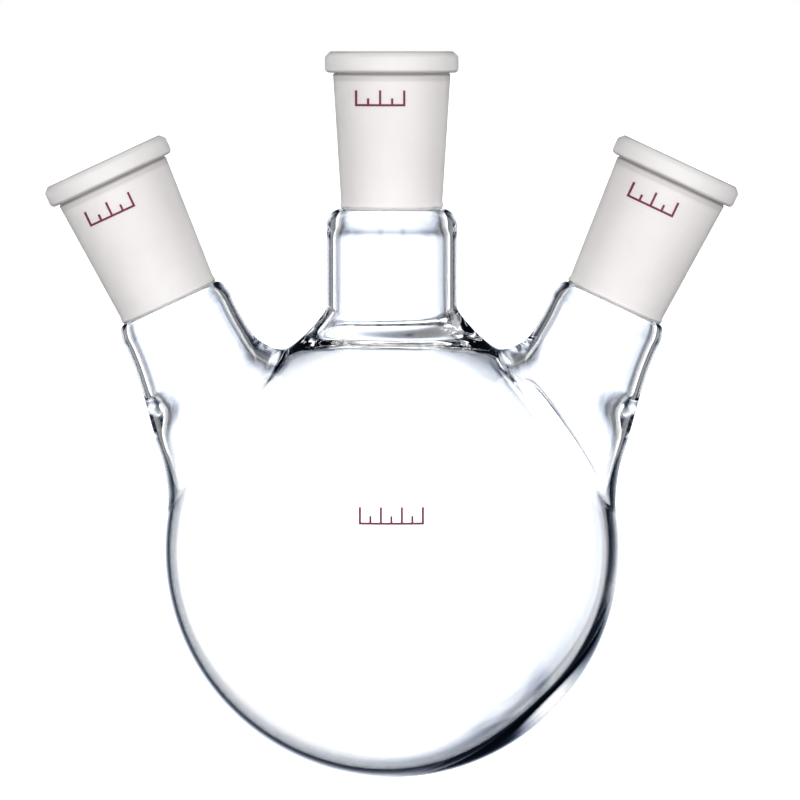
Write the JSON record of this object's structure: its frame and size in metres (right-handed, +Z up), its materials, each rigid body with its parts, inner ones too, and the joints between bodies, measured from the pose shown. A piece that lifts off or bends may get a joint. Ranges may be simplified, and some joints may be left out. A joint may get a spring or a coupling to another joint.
{
  "type": "three-neck round bottom flask",
  "caption": "Round glass flask with an upright centre neck and a slanted neck on each side, each ending in a ground taper socket with a rolled bead.",
  "frame": {"origin": "lowest point of the bulb, which is also the middle of the box's underside", "axes": "+Z up along the centre neck's axis, +X towards the right side neck, -X towards the left side neck, -Y towards the side that carries the enamel marks"},
  "size_m": [0.1592, 0.105, 0.1672],
  "materials": {
    "clear_glass": "clear, fire-polished borosilicate glass",
    "ground_glass": "finely ground, frosted borosilicate glass with a plain rolled bead",
    "enamel": "fired dark maroon enamel"
  },
  "bodies": {
    "root": {"bulb": "clear_glass", "centre_neck_tube": "clear_glass", "left_neck_tube": "clear_glass", "right_neck_tube": "clear_glass", "centre_joint_socket": "ground_glass", "left_joint_socket": "ground_glass", "right_joint_socket": "ground_glass", "capacity_mark": "enamel", "centre_joint_mark": "enamel", "left_joint_mark": "enamel", "right_joint_mark": "enamel"}
  },
  "joints": []
}
